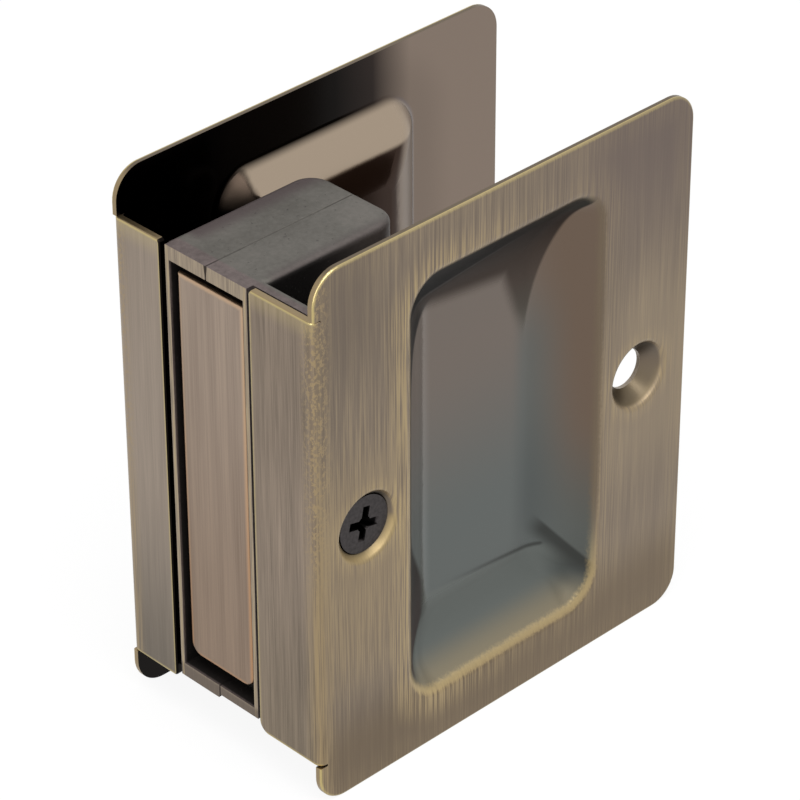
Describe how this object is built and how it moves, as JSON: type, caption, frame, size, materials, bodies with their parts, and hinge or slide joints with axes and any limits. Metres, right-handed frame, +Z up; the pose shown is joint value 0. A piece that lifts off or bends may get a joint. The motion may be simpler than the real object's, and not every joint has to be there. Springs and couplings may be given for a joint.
{
  "type": "pocket door passage pull set with edge pull",
  "caption": "Pocket door pull set: stamped brass plates with finger cups and flanges that wrap the door edge, and a cast case between them holding a sprung swing-out edge pull.",
  "frame": {"origin": "under the middle of the set, level with the lower edges of the two plates", "axes": "+Z up, +X from the door's edge into the door, -Y the way the front plate faces; the door's thickness lies along Y"},
  "size_m": [0.0698, 0.0378, 0.0825],
  "materials": {
    "antique_brass": "brushed, toned and lacquered, worn bright on the edges",
    "pull_brass": "brushed, coppery tone",
    "cast_zinc": null,
    "black_steel": "black oxide",
    "spring_steel": "plain steel"
  },
  "bodies": {
    "case": {"case_front_half": "cast_zinc", "case_rear_half": "cast_zinc", "case_rivets": "spring_steel", "pull_pin": "spring_steel", "pull_spring": "spring_steel"},
    "front_trim": {"front_plate": "antique_brass", "front_case_screw": "black_steel"},
    "rear_trim": {"rear_plate": "antique_brass", "rear_case_screw": "black_steel"},
    "pull": {"edge_pull": "pull_brass"}
  },
  "joints": [
    {"name": "pull_swing", "type": "hinge", "parent": "case", "child": "pull", "pos_m": [-0.02952, 0.00103, 0.06028], "axis": [0, 1, 0], "range_deg": [0, 80], "stiffness_Nm_per_rad": 0.008, "springref_deg": -22.92, "deforming": ["pull_spring"]},
    {"name": "front_trim_slide", "type": "slide", "parent": "case", "child": "front_trim", "axis": [0, -1, 0], "range_m": [0, 0.0047]},
    {"name": "rear_trim_slide", "type": "slide", "parent": "case", "child": "rear_trim", "axis": [0, 1, 0], "range_m": [-0.0009, 0.00385]}
  ]
}
